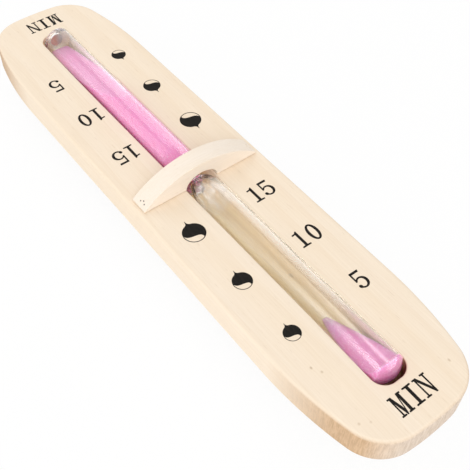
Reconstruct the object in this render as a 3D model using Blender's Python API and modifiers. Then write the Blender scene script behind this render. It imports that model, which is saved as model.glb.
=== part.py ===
"""Sauna hourglass: a sand glass in a grooved wooden board that turns on a wall plate.

The timer lies on its back. +Z points out of its front face, +Y to the end whose bulb
is full of sand, and the origin is the middle of the wall plate's back face.
"""

import math

import bmesh
import bpy
from mathutils import Matrix, Vector

# Clearances
SEAT_GAP = 0.0003
RUN_GAP = 0.0003
WELD = 0.00001
CUT_PAST = 0.004

# Front board
BOARD_LENGTH = 0.341
BOARD_WIDTH = 0.0754
BOARD_WEB = 0.0026
SIDE_STRAIGHT_LENGTH = 0.210
SIDE_ARC_RADIUS = 0.212
CORNER_RADIUS = 0.022
END_ARC_RADIUS = 0.143
BOARD_EDGE_ROUND = 0.0012

# Sand glass
GLASS_RADIUS = 0.0086
GLASS_WALL = 0.001
GLASS_PROUD = 0.0066
GLASS_OFFSET = 0.001
BULB_LENGTH = 0.145
SHOULDER_LENGTH = 0.010
END_DOME_LENGTH = 0.0065
NECK_RADIUS = 0.0028
NECK_BORE_RADIUS = 0.0008
NECK_HALF_LENGTH = 0.003
FILL_HOLE_RADIUS = 0.004
PLUG_LENGTH = 0.003

# Groove for the glass
GROOVE_SIDE_GAP = 0.0009
GROOVE_UPPER_END_GAP = 0.0013
GROOVE_LOWER_END_GAP = 0.002

# Sand
UPPER_SAND_HEADROOM = 0.003
UPPER_SAND_TOE_HEIGHT = 0.0016
UPPER_SAND_SLOPE = math.radians(9.0)
SAND_TOE_SLOPE = math.radians(35.0)
LOWER_SAND_RUN = 0.044
LOWER_SAND_SLOPE = math.radians(13.0)

# Bridge over the neck
BRIDGE_HEIGHT = 0.0136
BRIDGE_END_HEIGHT = 0.001
BRIDGE_WIDTH = 0.0109
BRIDGE_OFFSET = 0.0033
BRIDGE_INSET = 0.0029
NOTCH_SIDE_GAP = 0.0008
NOTCH_TOP_GAP = 0.0005

# Bridge pins, three at each end
PIN_RADIUS = 0.0004
PIN_INSET = 0.0021
PIN_PITCH = 0.0016
PIN_STAGGER = 0.0008
PIN_CLUSTER_OFFSET = 0.0009
PIN_SET_DEPTH = 0.0004
PIN_BITE = 0.010

# Wall plate
PLATE_LENGTH = 0.120
PLATE_WIDTH = 0.036
PLATE_WEB = 0.0042
PLATE_EDGE_ROUND = 0.0015
WALL_HOLE_SPACING = 0.096
WALL_HOLE_RADIUS = 0.0023
COUNTERSINK_RADIUS = 0.0045
COUNTERSINK_DEPTH = 0.0024

# Pivot
BOLT_RADIUS = 0.0025
BOLT_HEAD_RADIUS = 0.0046
BOLT_HEAD_HEIGHT = 0.0018
BOLT_SOCKET_FLATS = 0.003
BOLT_SOCKET_DEPTH = 0.001
SMALL_WASHER_RADIUS = 0.0055
SMALL_WASHER_THICKNESS = 0.0008
SPACER_RADIUS = 0.012
SPACER_THICKNESS = 0.0012
NUT_FLATS = 0.008
NUT_HEIGHT = 0.004
NUT_RECESS = 0.0002

# Facets
ARC_STEPS = 6
ROUND_END_STEPS = 20
TURN_STEPS = 24
SMALL_TURN_STEPS = 16
PIN_SIDES = 12
HEX_SIDES = 6
DOME_STEPS = 5
ARCH_STEPS = 20
NOTCH_STEPS = 14
EDGE_STEPS = 3

# Levels along Z
nut_bottom = NUT_RECESS
plate_washer_bottom = nut_bottom + NUT_HEIGHT + SEAT_GAP
pocket_ceiling = plate_washer_bottom + SMALL_WASHER_THICKNESS + SEAT_GAP
plate_front = pocket_ceiling + PLATE_WEB
spacer_bottom = plate_front + SEAT_GAP
board_back = spacer_bottom + SPACER_THICKNESS + RUN_GAP
counterbore_floor = board_back + BOARD_WEB
head_washer_bottom = counterbore_floor + RUN_GAP
bolt_head_bottom = head_washer_bottom + SMALL_WASHER_THICKNESS + SEAT_GAP
bolt_head_top = bolt_head_bottom + BOLT_HEAD_HEIGHT
groove_floor = bolt_head_top + RUN_GAP
glass_axis = groove_floor + SEAT_GAP + GLASS_RADIUS
board_front = glass_axis + GLASS_RADIUS - GLASS_PROUD
bridge_bottom = board_front + SEAT_GAP

# Places along Y
neck_y = -GLASS_OFFSET
bridge_y = -BRIDGE_OFFSET
groove_upper_end = neck_y + BULB_LENGTH + GROOVE_UPPER_END_GAP
groove_lower_end = neck_y - BULB_LENGTH - GROOVE_LOWER_END_GAP

# Radii worked out from the pieces that fit together
glass_bore = GLASS_RADIUS - GLASS_WALL
sand_radius = glass_bore - SEAT_GAP
groove_half_width = GLASS_RADIUS + GROOVE_SIDE_GAP
bolt_hole_radius = BOLT_RADIUS + RUN_GAP
washer_pocket_radius = SMALL_WASHER_RADIUS + RUN_GAP
pin_hole_radius = PIN_RADIUS + SEAT_GAP
bridge_half_span = BOARD_WIDTH / 2.0 - BRIDGE_INSET


def clear_scene():
    for old in list(bpy.data.objects):
        bpy.data.objects.remove(old, do_unlink=True)


def make_collection(name):
    collection = bpy.data.collections.new(name)
    bpy.context.scene.collection.children.link(collection)
    return collection


clear_scene()
PARTS = make_collection("sauna_hourglass")
CUTTERS = make_collection("cutters")


def make_material(name, colour, roughness, metallic=0.0, transmission=0.0):
    material = bpy.data.materials.new(name)
    material.use_nodes = True
    shader = material.node_tree.nodes["Principled BSDF"]
    shader.inputs["Base Color"].default_value = (*colour, 1.0)
    shader.inputs["Roughness"].default_value = roughness
    shader.inputs["Metallic"].default_value = metallic
    shader.inputs["Transmission Weight"].default_value = transmission
    return material


def place(obj, collection, location=(0.0, 0.0, 0.0), rotation=(0.0, 0.0, 0.0)):
    collection.objects.link(obj)
    obj.location = location
    obj.rotation_euler = rotation
    return obj


def finish_part(obj, material, parent):
    """Give a part its material, smooth shading and the empty that carries it."""
    obj.data.materials.clear()
    obj.data.materials.append(material)
    obj.data.shade_smooth()
    obj.data.set_sharp_from_angle(angle=math.radians(35.0))
    obj.parent = parent
    return obj


def as_cutter(obj):
    obj.hide_render = True
    obj.display_type = "WIRE"
    return obj


def cut(obj, cutter):
    modifier = obj.modifiers.new("cut_" + cutter.name, "BOOLEAN")
    modifier.operation = "DIFFERENCE"
    modifier.solver = "EXACT"
    modifier.object = cutter


def round_edges(obj, width):
    modifier = obj.modifiers.new("round_edges", "BEVEL")
    modifier.width = width
    modifier.segments = EDGE_STEPS
    modifier.limit_method = "ANGLE"
    modifier.angle_limit = math.radians(60.0)


def slab(name, outline, thickness, collection, location, rotation=(0.0, 0.0, 0.0)):
    """A flat outline as a filled 2D curve, turned into a welded mesh of the given thickness."""
    curve = bpy.data.curves.new(name + "_outline", "CURVE")
    curve.dimensions = "2D"
    curve.fill_mode = "BOTH"
    curve.extrude = thickness / 2.0
    spline = curve.splines.new("POLY")
    spline.points.add(len(outline) - 1)
    for point, (x, y) in zip(spline.points, outline):
        point.co = (x, y, 0.0, 1.0)
    spline.use_cyclic_u = True
    guide = place(bpy.data.objects.new(name + "_outline", curve), CUTTERS)
    bpy.context.view_layer.update()
    evaluated = guide.evaluated_get(bpy.context.evaluated_depsgraph_get())
    mesh = bpy.data.meshes.new_from_object(evaluated)
    mesh.name = name
    cage = bmesh.new()
    cage.from_mesh(mesh)
    bmesh.ops.remove_doubles(cage, verts=cage.verts, dist=WELD)
    bmesh.ops.dissolve_limit(cage, angle_limit=math.radians(0.5), verts=cage.verts, edges=cage.edges)
    bmesh.ops.recalc_face_normals(cage, faces=cage.faces)
    cage.to_mesh(mesh)
    cage.free()
    bpy.data.objects.remove(guide, do_unlink=True)
    return place(bpy.data.objects.new(name, mesh), collection, location, rotation)


def turned(name, profile, collection, location=(0.0, 0.0, 0.0), rotation=(0.0, 0.0, 0.0),
           steps=SMALL_TURN_STEPS, closed=False):
    """A profile of (radius, height) points, top to bottom on the outer side, turned about Z."""
    mesh = bpy.data.meshes.new(name)
    cage = bmesh.new()
    verts = [cage.verts.new((radius, 0.0, height)) for radius, height in profile]
    for start, end in zip(verts, verts[1:]):
        cage.edges.new((start, end))
    if closed:
        cage.edges.new((verts[-1], verts[0]))
    cage.to_mesh(mesh)
    cage.free()
    obj = place(bpy.data.objects.new(name, mesh), collection, location, rotation)
    screw = obj.modifiers.new("turn", "SCREW")
    screw.axis = "Z"
    screw.steps = steps
    screw.render_steps = steps
    screw.use_merge_vertices = True
    screw.merge_threshold = WELD
    screw.use_smooth_shade = True
    return obj


def posts(name, places, radius, bottom, top, collection, sides=SMALL_TURN_STEPS):
    """Upright bars, one at each (x, y), in one mesh."""
    mesh = bpy.data.meshes.new(name)
    cage = bmesh.new()
    for x, y in places:
        middle = Matrix.Translation((x, y, (bottom + top) / 2.0))
        bmesh.ops.create_cone(cage, cap_ends=True, segments=sides, radius1=radius, radius2=radius,
                              depth=top - bottom, matrix=middle)
    cage.to_mesh(mesh)
    cage.free()
    return place(bpy.data.objects.new(name, mesh), collection)


def arc(centre, radius, first, last, steps):
    """Points on a circle from one angle to another, both ends included."""
    points = []
    for step in range(steps + 1):
        angle = first + (last - first) * step / steps
        points.append((centre[0] + radius * math.cos(angle), centre[1] + radius * math.sin(angle)))
    return points


def round_ended(half_width, upper, lower):
    """A long outline with a half circle at each end."""
    top = arc((0.0, upper - half_width), half_width, 0.0, math.pi, ROUND_END_STEPS)
    bottom = arc((0.0, lower + half_width), half_width, math.pi, 2.0 * math.pi, ROUND_END_STEPS)
    return top + bottom


def board_outline():
    """Straight sides that bend in along a wide arc, round corners and slightly bowed ends."""
    side = Vector((BOARD_WIDTH / 2.0 - SIDE_ARC_RADIUS, SIDE_STRAIGHT_LENGTH / 2.0))
    end = Vector((0.0, BOARD_LENGTH / 2.0 - END_ARC_RADIUS))
    to_side = SIDE_ARC_RADIUS - CORNER_RADIUS
    to_end = END_ARC_RADIUS - CORNER_RADIUS
    across = end - side
    along = (across.length_squared + to_side ** 2 - to_end ** 2) / (2.0 * across.length)
    direction = across.normalized()
    square = Vector((-direction.y, direction.x))
    corner = side + direction * along + square * math.sqrt(to_side ** 2 - along ** 2)
    side_angle = math.atan2(corner.y - side.y, corner.x - side.x)
    end_angle = math.atan2(corner.y - end.y, corner.x - end.x)
    quarter = arc(side, SIDE_ARC_RADIUS, 0.0, side_angle, ARC_STEPS)
    quarter += arc(corner, CORNER_RADIUS, side_angle, end_angle, ARC_STEPS)[1:]
    quarter += arc(end, END_ARC_RADIUS, end_angle, math.pi / 2.0, ARC_STEPS)[1:]
    upper_half = quarter + [(-x, y) for x, y in reversed(quarter[:-1])]
    return upper_half + [(-x, -y) for x, y in upper_half]


def shoulder(first_radius, full_radius, start, end):
    """Quarter-ellipse shoulder of a bulb, from the neck outward, as (radius, distance) points."""
    points = []
    for step in range(DOME_STEPS + 1):
        angle = math.radians(90.0 * step / DOME_STEPS)
        radius = first_radius + (full_radius - first_radius) * math.sin(angle)
        points.append((radius, start + (end - start) * (1.0 - math.cos(angle))))
    return points


def end_dome(full_radius, start, end, last_radius=0.0):
    """Quarter-ellipse closed end of a bulb, stopping at a hole of last_radius."""
    last_angle = math.acos(last_radius / full_radius)
    points = []
    for step in range(DOME_STEPS + 1):
        angle = last_angle * step / DOME_STEPS
        points.append((full_radius * math.cos(angle), start + (end - start) * math.sin(angle)))
    points[-1] = (last_radius, points[-1][1])
    return points


def mirrored(points):
    return [(radius, -distance) for radius, distance in points]


shoulder_end = NECK_HALF_LENGTH + SHOULDER_LENGTH
dome_start = BULB_LENGTH - END_DOME_LENGTH
PIVOT = (0.0, 0.0)
ALONG_Y = (math.radians(-90.0), 0.0, 0.0)
UPRIGHT = (math.radians(90.0), 0.0, 0.0)

wood = make_material("pale_wood", (0.86, 0.72, 0.53), 0.55)
bridge_wood = make_material("bridge_wood", (0.88, 0.75, 0.56), 0.55)
plate_wood = make_material("plate_wood", (0.80, 0.66, 0.47), 0.6)
clear_glass = make_material("clear_glass", (0.95, 0.97, 0.96), 0.03, transmission=1.0)
pink_sand = make_material("pink_sand", (0.87, 0.42, 0.66), 0.8)
grey_steel = make_material("grey_steel", (0.62, 0.62, 0.62), 0.35, metallic=1.0)
zinc_steel = make_material("zinc_steel", (0.70, 0.70, 0.68), 0.3, metallic=1.0)
grey_fibre = make_material("grey_fibre", (0.25, 0.25, 0.25), 0.6)
brown_rubber = make_material("brown_rubber", (0.30, 0.15, 0.10), 0.5)

wall_side = place(bpy.data.objects.new("wall_side", None), PARTS)
turning_side = place(bpy.data.objects.new("turning_side", None), PARTS)


# Bridge shape and pin places, which the board shares

def bridge_arc_radius():
    rise = BRIDGE_HEIGHT - BRIDGE_END_HEIGHT
    return (bridge_half_span ** 2 + rise ** 2) / (2.0 * rise)


def bridge_top_height(x):
    """Height of the bridge's arched top over its own underside at a distance x from the middle."""
    radius = bridge_arc_radius()
    return math.sqrt(radius ** 2 - x ** 2) - radius + BRIDGE_HEIGHT


def pin_places():
    """Each pin's name and its (x, y): three at each end, the middle one set inward."""
    places = {}
    for side, side_name in ((-1.0, "left"), (1.0, "right")):
        for row, row_name in ((1, "upper"), (0, "middle"), (-1, "lower")):
            inward = PIN_STAGGER if row == 0 else 0.0
            x = side * (bridge_half_span - PIN_INSET - inward)
            y = bridge_y - PIN_CLUSTER_OFFSET + row * PIN_PITCH
            places[f"bridge_pin_{side_name}_{row_name}"] = (x, y)
    return places


def make_pin_holes():
    bottom = board_front - PIN_BITE - SEAT_GAP
    top = bridge_bottom + BRIDGE_HEIGHT
    holes = posts("pin_holes", pin_places().values(), pin_hole_radius, bottom, top, CUTTERS, PIN_SIDES)
    return as_cutter(holes)


pin_holes = make_pin_holes()


def make_front_board():
    thickness = board_front - board_back
    board = slab("front_board", board_outline(), thickness, PARTS, (0.0, 0.0, board_back + thickness / 2.0))
    round_edges(board, BOARD_EDGE_ROUND)

    groove_outline = round_ended(groove_half_width, groove_upper_end, groove_lower_end)
    groove_height = board_front + CUT_PAST - groove_floor
    groove_middle = (0.0, 0.0, groove_floor + groove_height / 2.0)
    groove = slab("groove_cut", groove_outline, groove_height, CUTTERS, groove_middle)
    cut(board, as_cutter(groove))

    head_room = posts("counterbore_cut", [PIVOT], washer_pocket_radius, counterbore_floor,
                      groove_floor + CUT_PAST, CUTTERS, TURN_STEPS)
    cut(board, as_cutter(head_room))
    bolt_hole = posts("board_bolt_hole_cut", [PIVOT], bolt_hole_radius, board_back - CUT_PAST,
                      groove_floor, CUTTERS)
    cut(board, as_cutter(bolt_hole))
    cut(board, pin_holes)
    return finish_part(board, wood, turning_side)


def make_bridge():
    top = []
    for step in range(ARCH_STEPS + 1):
        x = -bridge_half_span + 2.0 * bridge_half_span * step / ARCH_STEPS
        top.append((x, bridge_top_height(x)))
    notch_half_width = GLASS_RADIUS + NOTCH_SIDE_GAP
    notch_height = GLASS_PROUD + NOTCH_TOP_GAP
    notch = []
    for step in range(NOTCH_STEPS + 1):
        angle = math.pi * step / NOTCH_STEPS
        notch.append((notch_half_width * math.cos(angle), notch_height * math.sin(angle)))
    outline = top + [(bridge_half_span, 0.0)] + notch + [(-bridge_half_span, 0.0)]
    bridge = slab("bridge", outline, BRIDGE_WIDTH, PARTS, (0.0, bridge_y, bridge_bottom), UPRIGHT)
    cut(bridge, pin_holes)
    return finish_part(bridge, bridge_wood, turning_side)


def make_bridge_pins():
    for name, (x, y) in pin_places().items():
        top = bridge_bottom + bridge_top_height(x) - PIN_SET_DEPTH
        pin = posts(name, [(x, y)], PIN_RADIUS, board_front - PIN_BITE, top, PARTS, PIN_SIDES)
        finish_part(pin, grey_steel, turning_side)


def make_glass():
    """Two long bulbs joined at a narrow neck, hollow, with the filling hole at the upper end."""
    outer_bulb = shoulder(NECK_RADIUS, GLASS_RADIUS, NECK_HALF_LENGTH, shoulder_end)
    inner_start = NECK_HALF_LENGTH + GLASS_WALL
    inner_bulb = shoulder(NECK_BORE_RADIUS, glass_bore, inner_start, shoulder_end)
    inner_end = BULB_LENGTH - GLASS_WALL
    inner_lower = mirrored(inner_bulb + end_dome(glass_bore, dome_start, inner_end))
    inner_upper = inner_bulb + end_dome(glass_bore, dome_start, inner_end, FILL_HOLE_RADIUS)
    outer_upper = outer_bulb + end_dome(GLASS_RADIUS, dome_start, BULB_LENGTH, FILL_HOLE_RADIUS)
    outer_lower = mirrored(outer_bulb + end_dome(GLASS_RADIUS, dome_start, BULB_LENGTH))
    profile = list(reversed(inner_lower)) + inner_upper + list(reversed(outer_upper)) + outer_lower
    glass = turned("glass_bulbs", profile, PARTS, (0.0, neck_y, glass_axis), ALONG_Y, TURN_STEPS)
    return finish_part(glass, clear_glass, turning_side)


def make_fill_plug():
    """A stopper that fills the filling hole, its outer face level with the hole's rim."""
    outer_face = end_dome(GLASS_RADIUS, dome_start, BULB_LENGTH, FILL_HOLE_RADIUS)[-1][1]
    inner_face = outer_face - PLUG_LENGTH
    radius = FILL_HOLE_RADIUS - SEAT_GAP
    profile = [(0.0, outer_face), (radius, outer_face), (radius, inner_face), (0.0, inner_face)]
    plug = turned("fill_plug", profile, PARTS, (0.0, neck_y, glass_axis), ALONG_Y)
    return finish_part(plug, brown_rubber, turning_side)


def sand_profile():
    """The inside of one bulb, less a small gap, closed at both ends."""
    start = NECK_HALF_LENGTH + GLASS_WALL + SEAT_GAP
    inside = shoulder(0.0, sand_radius, start, shoulder_end)
    end = BULB_LENGTH - GLASS_WALL - SEAT_GAP
    return inside + end_dome(sand_radius, dome_start, end)


def surface_cutter(name, y, height, slope):
    """A block whose sloping underside passes through (y, height): the sand's free surface."""
    size = 2.0 * BULB_LENGTH
    block = bmesh.new()
    bmesh.ops.create_cube(block, size=size)
    mesh = bpy.data.meshes.new(name)
    block.to_mesh(mesh)
    block.free()
    up = Vector((0.0, -math.sin(slope), math.cos(slope)))
    middle = Vector((0.0, y, height)) + up * (size / 2.0)
    return as_cutter(place(bpy.data.objects.new(name, mesh), CUTTERS, middle, (slope, 0.0, 0.0)))


def make_sand():
    floor = glass_axis - sand_radius
    toe = neck_y + BULB_LENGTH - UPPER_SAND_HEADROOM
    middle = (0.0, neck_y, glass_axis)
    upper = turned("sand_upper", list(reversed(sand_profile())), PARTS, middle, ALONG_Y, TURN_STEPS)
    cut(upper, surface_cutter("upper_surface", toe, floor + UPPER_SAND_TOE_HEIGHT, -UPPER_SAND_SLOPE))
    cut(upper, surface_cutter("upper_toe", toe, floor + UPPER_SAND_TOE_HEIGHT, -SAND_TOE_SLOPE))

    tip = neck_y - BULB_LENGTH + LOWER_SAND_RUN
    lower = turned("sand_lower", mirrored(sand_profile()), PARTS, middle, ALONG_Y, TURN_STEPS)
    cut(lower, surface_cutter("lower_surface", tip, floor, -LOWER_SAND_SLOPE))
    finish_part(upper, pink_sand, turning_side)
    finish_part(lower, pink_sand, turning_side)


def make_wall_plate():
    outline = round_ended(PLATE_WIDTH / 2.0, PLATE_LENGTH / 2.0, -PLATE_LENGTH / 2.0)
    plate = slab("wall_plate", outline, plate_front, PARTS, (0.0, 0.0, plate_front / 2.0))
    round_edges(plate, PLATE_EDGE_ROUND)

    nut_pocket = posts("nut_pocket_cut", [PIVOT], washer_pocket_radius, -CUT_PAST, pocket_ceiling,
                       CUTTERS, TURN_STEPS)
    cut(plate, as_cutter(nut_pocket))
    bolt_hole = posts("plate_bolt_hole_cut", [PIVOT], bolt_hole_radius, nut_bottom,
                      plate_front + CUT_PAST, CUTTERS)
    cut(plate, as_cutter(bolt_hole))
    rim = plate_front
    for side in (-1.0, 1.0):
        profile = [(0.0, rim + CUT_PAST), (COUNTERSINK_RADIUS, rim + CUT_PAST), (COUNTERSINK_RADIUS, rim),
                   (WALL_HOLE_RADIUS, rim - COUNTERSINK_DEPTH), (WALL_HOLE_RADIUS, -CUT_PAST),
                   (0.0, -CUT_PAST)]
        name = "wall_hole_upper_cut" if side > 0.0 else "wall_hole_lower_cut"
        hole = turned(name, profile, CUTTERS, (0.0, side * WALL_HOLE_SPACING / 2.0, 0.0))
        cut(plate, as_cutter(hole))
    return finish_part(plate, plate_wood, wall_side)


def hexagon_radius(flats):
    return flats / math.sqrt(3.0)


def make_pivot_bolt():
    top = bolt_head_top
    profile = [(0.0, top), (BOLT_HEAD_RADIUS, top), (BOLT_HEAD_RADIUS, bolt_head_bottom),
               (BOLT_RADIUS, bolt_head_bottom), (BOLT_RADIUS, nut_bottom), (0.0, nut_bottom)]
    bolt = turned("pivot_bolt", profile, PARTS)
    socket = posts("socket_cut", [PIVOT], hexagon_radius(BOLT_SOCKET_FLATS), top - BOLT_SOCKET_DEPTH,
                   top + CUT_PAST, CUTTERS, HEX_SIDES)
    cut(bolt, as_cutter(socket))
    return finish_part(bolt, zinc_steel, wall_side)


def make_washer(name, bottom, radius, thickness, material):
    top = bottom + thickness
    profile = [(bolt_hole_radius, top), (radius, top), (radius, bottom), (bolt_hole_radius, bottom)]
    washer = turned(name, profile, PARTS, steps=TURN_STEPS, closed=True)
    return finish_part(washer, material, wall_side)


def make_lock_nut():
    top = nut_bottom + NUT_HEIGHT
    nut = posts("lock_nut", [PIVOT], hexagon_radius(NUT_FLATS), nut_bottom, top, PARTS, HEX_SIDES)
    bore = posts("nut_bore_cut", [PIVOT], bolt_hole_radius, nut_bottom - CUT_PAST, top + CUT_PAST, CUTTERS)
    cut(nut, as_cutter(bore))
    return finish_part(nut, zinc_steel, wall_side)


make_front_board()
make_bridge()
make_bridge_pins()
make_glass()
make_fill_plug()
make_sand()
make_wall_plate()
make_pivot_bolt()
make_washer("head_washer", head_washer_bottom, SMALL_WASHER_RADIUS, SMALL_WASHER_THICKNESS, zinc_steel)
make_washer("spacer_washer", spacer_bottom, SPACER_RADIUS, SPACER_THICKNESS, grey_fibre)
make_washer("plate_washer", plate_washer_bottom, SMALL_WASHER_RADIUS, SMALL_WASHER_THICKNESS, zinc_steel)
make_lock_nut()
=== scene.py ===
"""Looks of the sauna hourglass: fine meshes, wood, glass, sand, print, studio and camera.

Everything is in metres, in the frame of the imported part: +Z out of the timer's face and
+Y to the end whose bulb is full of sand. "Far" is the +Y half and "near" the -Y half.
"""

import math

import bmesh
import bpy
from mathutils import Matrix, Vector, noise


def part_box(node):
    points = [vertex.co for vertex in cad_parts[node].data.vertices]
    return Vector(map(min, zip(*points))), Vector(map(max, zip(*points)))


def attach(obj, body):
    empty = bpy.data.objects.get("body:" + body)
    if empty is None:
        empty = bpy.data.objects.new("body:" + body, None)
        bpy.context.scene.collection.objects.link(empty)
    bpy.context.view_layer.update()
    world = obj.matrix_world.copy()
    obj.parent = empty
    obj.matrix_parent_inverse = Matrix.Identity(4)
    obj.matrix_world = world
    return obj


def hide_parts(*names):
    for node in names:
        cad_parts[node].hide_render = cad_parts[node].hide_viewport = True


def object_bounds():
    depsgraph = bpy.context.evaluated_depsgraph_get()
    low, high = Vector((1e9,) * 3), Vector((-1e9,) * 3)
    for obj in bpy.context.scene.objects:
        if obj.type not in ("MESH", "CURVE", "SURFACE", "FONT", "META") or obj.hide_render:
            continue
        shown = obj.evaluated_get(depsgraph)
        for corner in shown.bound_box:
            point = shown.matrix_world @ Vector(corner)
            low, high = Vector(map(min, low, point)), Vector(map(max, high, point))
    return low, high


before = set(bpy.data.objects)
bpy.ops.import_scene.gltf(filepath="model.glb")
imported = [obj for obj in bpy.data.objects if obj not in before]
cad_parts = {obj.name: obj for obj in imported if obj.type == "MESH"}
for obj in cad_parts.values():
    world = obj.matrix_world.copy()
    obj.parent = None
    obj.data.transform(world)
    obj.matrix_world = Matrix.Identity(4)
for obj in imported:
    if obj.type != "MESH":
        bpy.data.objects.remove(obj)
cad_low, cad_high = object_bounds()

# Board
SIDE_STRAIGHT_LENGTH = 0.210
SIDE_ARC_RADIUS = 0.212
CORNER_RADIUS = 0.022
END_ARC_RADIUS = 0.143
BOARD_EDGE_ROUND = 0.0018
GROOVE_HALF_WIDTH = 0.0091
GROOVE_END_RADIUS = 0.0072
GROOVE_SHIFT = -0.00035
# Shift of the groove's left side per metre from the middle, and where it stops growing and ends
GROOVE_SKEW = -0.0035
GROOVE_SKEW_REACH = 0.100
GROOVE_SKEW_END = 0.136
GROOVE_UPPER_END_GAP = 0.0015
GROOVE_LOWER_END_GAP = 0.0020
GROOVE_RIM_ROUND = 0.0007
GROOVE_FLOOR_ROUND = 0.0012
GROOVE_DEPTH = 0.0109
COUNTERBORE_RADIUS = 0.0058
COUNTERBORE_DEPTH = 0.0144
BOLT_HOLE_RADIUS = 0.0028

# Sand glass
GLASS_WALL = 0.0006
GLASS_IOR = 1.47
SHOULDER_LENGTH = 0.016
END_CAP_LENGTH = 0.0042
END_CORNER_ROUND = 0.0005
END_GLASS = 0.0030
INNER_CAP_RISE = 0.0012
NECK_RADIUS = 0.0028
NECK_BORE_RADIUS = 0.0008
NECK_HALF_LENGTH = 0.003
FILL_HOLE_RADIUS = 0.004
PLUG_CLEARANCE = 0.00005

# Sand
SAND_CONTACT = 0.00004
FAR_SAND_HEADROOM = 0.0015
FAR_SAND_TOE_HEIGHT = 0.0018
FAR_SAND_TOE_SLOPE = 0.7
FAR_SAND_SLOPE = 0.126
FAR_SAND_CURVE = 0.74
NEAR_SAND_RUN = 0.0440
NEAR_SAND_FOOT_INSET = 0.0008
NEAR_SAND_FOOT_SLOPE = 0.075
NEAR_SAND_CURVE = 5.1
NEAR_SAND_PACKED_FROM = 0.0370
NEAR_SAND_PACKED_SLOPE = 1.8
SAND_RIPPLE = 0.00022
SAND_RIPPLES_ACROSS = 500.0
SAND_RIPPLES_ALONG = 350.0
# Fall-off, step and number of the ripples' octaves
SAND_RIPPLE_OCTAVES = (0.8, 2.0, 3)
# Shares of the bore's radius that the sand's surface stays within, and the share that ends a heap
SAND_LOWEST = 0.985
SAND_HIGHEST = 0.9995
SAND_LAST = 0.98

# Bridge and its brads
BRIDGE_END_HEIGHT = 0.001
BRIDGE_EDGE_ROUND = 0.0004
NOTCH_HALF_WIDTH = 0.0094
NOTCH_HEIGHT = 0.0071
PIN_PROUD = 0.0001
PIN_CROWN = 0.4
PIN_CROWN_STEPS = 6

# Pivot and wall plate
PLATE_EDGE_ROUND = 0.0015
WALL_HOLE_SPACING = 0.096
WALL_HOLE_RADIUS = 0.0023
COUNTERSINK_RADIUS = 0.0045
COUNTERSINK_DEPTH = 0.0024
SOCKET_FLATS = 0.003
SOCKET_DEPTH = 0.001
CHAMFER = 0.0002
SEAT_GAP = 0.0003
SHANK_RADIUS = 0.0025
THREAD_CORE_RADIUS = 0.0022
THREAD_PITCH = 0.0008
THREAD_START = 0.0006
THREAD_TOP = 0.0050
NUT_BORE_RADIUS = 0.0027
NUT_FLATS_START = 0.0005
# Distances down from the nut's top, and how far its collar draws in on the way up
NUT_FLATS_DROP = 0.0012
NUT_RIM_DROP = 0.0009
NUT_COLLAR_DROP = 0.0008
NUT_COLLAR_INSETS = (0.0006, 0.0008, 0.0010)

# Print on the near half; the far half repeats it after a half turn
INK_THICKNESS = 0.00004
INK_LIFT = 0.00001
DIGIT_HEIGHT = 0.0101
LETTER_HEIGHT = 0.0096
PEN_WEIGHT = 0.14
DROP_PLACES = {"large": (-0.0224, -0.0329, 0.0059), "medium": (-0.0214, -0.0692, 0.0049),
               "small": (-0.0212, -0.1041, 0.0042)}

# Mesh detail
ROUND_STEPS = 6
TO_SIDE = range(ROUND_STEPS + 1)
FROM_SIDE = TO_SIDE[::-1]
ARC_STEPS = 24
SKEW_STEPS = 32
TURN_STEPS = 128
SMALL_TURN_STEPS = 48
BOWL_STEPS = 64
HEAP_AROUND_STEPS = 56
HEAP_ACROSS_STEPS = 24
HEAP_STATIONS = 150
SMOOTH_ANGLE = math.radians(32.0)

# Studio
REFLECTOR_DISTANCE = 0.6
POWER_PER_RADIANCE = 4.0
FLOOR_HALF_SIZE = 6.0
FLOOR_GAP = 0.0002
FLOOR_WHITE_SHARE = 0.92
WORLD_STRENGTH = 0.74
CAMERA_SENSOR = 36.0
CAMERA_LENS = 58.81
CAMERA_NEAREST = 0.01
CAMERA_RIGHT = Vector((0.79227, -0.61002, 0.01352))
CAMERA_UP = Vector((0.46680, 0.62023, 0.63040))
CAMERA_PLACE = (-0.15196, -0.22694)
CAMERA_HEIGHT_OVER_FACE = 0.28511

# Places read from the frame
board_low, board_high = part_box("front_board")
bridge_low, bridge_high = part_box("bridge")
glass_low, glass_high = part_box("glass_bulbs")
board_front = board_high.z
board_back = board_low.z
groove_floor = board_front - GROOVE_DEPTH
glass_radius = (glass_high.x - glass_low.x) / 2.0
glass_axis = (glass_low.z + glass_high.z) / 2.0
neck_y = (glass_low.y + glass_high.y) / 2.0
bulb_length = (glass_high.y - glass_low.y) / 2.0
bore = glass_radius - GLASS_WALL
shoulder_end = NECK_HALF_LENGTH + SHOULDER_LENGTH
cap_start = bulb_length - END_CAP_LENGTH


# Mesh helpers

def loop_of(cage, points):
    return [cage.verts.new(point) for point in points]


def skin(cage, loops):
    """Quads between neighbouring closed loops of equal length."""
    for first, second in zip(loops, loops[1:]):
        count = len(first)
        for index in range(count):
            after = (index + 1) % count
            cage.faces.new((first[index], first[after], second[after], second[index]))


def fill(cage, *loops):
    """Flat triangles between an outer loop and any holes in it."""
    edges = []
    for loop in loops:
        for start, end in zip(loop, loop[1:] + loop[:1]):
            edges.append(cage.edges.get((start, end)) or cage.edges.new((start, end)))
    bmesh.ops.triangle_fill(cage, use_beauty=True, use_dissolve=False, edges=edges)


def finish_mesh(name, cage, material):
    """Make a piece of a mesh, with its faces pointing out, its material and smooth shading."""
    bmesh.ops.recalc_face_normals(cage, faces=cage.faces)
    mesh = bpy.data.meshes.new(name)
    cage.to_mesh(mesh)
    cage.free()
    piece = bpy.data.objects.new(name, mesh)
    bpy.context.scene.collection.objects.link(piece)
    mesh.materials.append(material)
    mesh.shade_smooth()
    mesh.set_sharp_from_angle(angle=SMOOTH_ANGLE)
    return piece


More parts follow.
